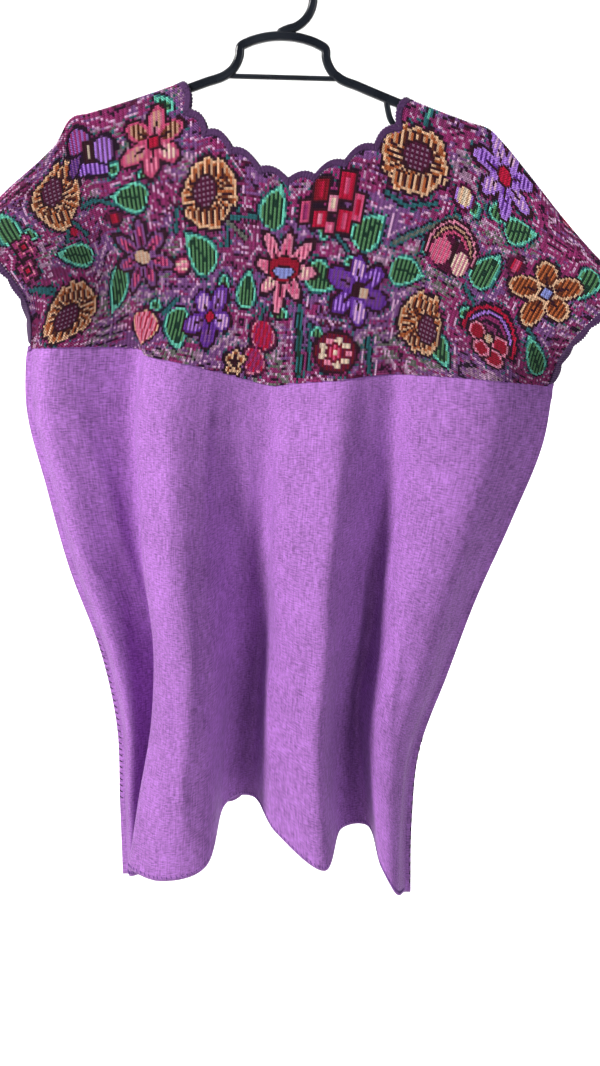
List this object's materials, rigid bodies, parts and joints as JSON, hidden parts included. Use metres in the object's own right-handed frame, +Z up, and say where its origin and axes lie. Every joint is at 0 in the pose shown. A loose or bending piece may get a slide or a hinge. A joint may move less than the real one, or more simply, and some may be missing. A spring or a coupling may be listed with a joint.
{
  "type": "cross-stitch blouse on a hanger",
  "caption": "Square-cut sleeveless blouse with a cross-stitched flower yoke, scalloped neck and plain cotton lower part, hanging in folds on a plastic hanger.",
  "frame": {"origin": "top of the inside of the hanger's hook, where a rail bears", "axes": "+Z up, front of the blouse towards -Y, +X to the viewer's right when the front is seen"},
  "size_m": [0.6304, 0.1898, 0.9663],
  "materials": {
    "embroidery": "dense cotton cross-stitch in plum with flowers and leaves",
    "cloth": "plain woven lilac cotton",
    "edging": "crocheted dark purple cotton",
    "plastic": "moulded black plastic, half gloss"
  },
  "bodies": {
    "root": {"front_yoke": "embroidery", "back_yoke": "embroidery", "front_lower": "cloth", "back_lower": "cloth", "neck_edging": "edging", "left_armhole_edging": "edging", "right_armhole_edging": "edging", "hanger_middle": "plastic", "hanger_left_arm": "plastic", "hanger_right_arm": "plastic", "hanger_bar": "plastic"}
  },
  "joints": []
}
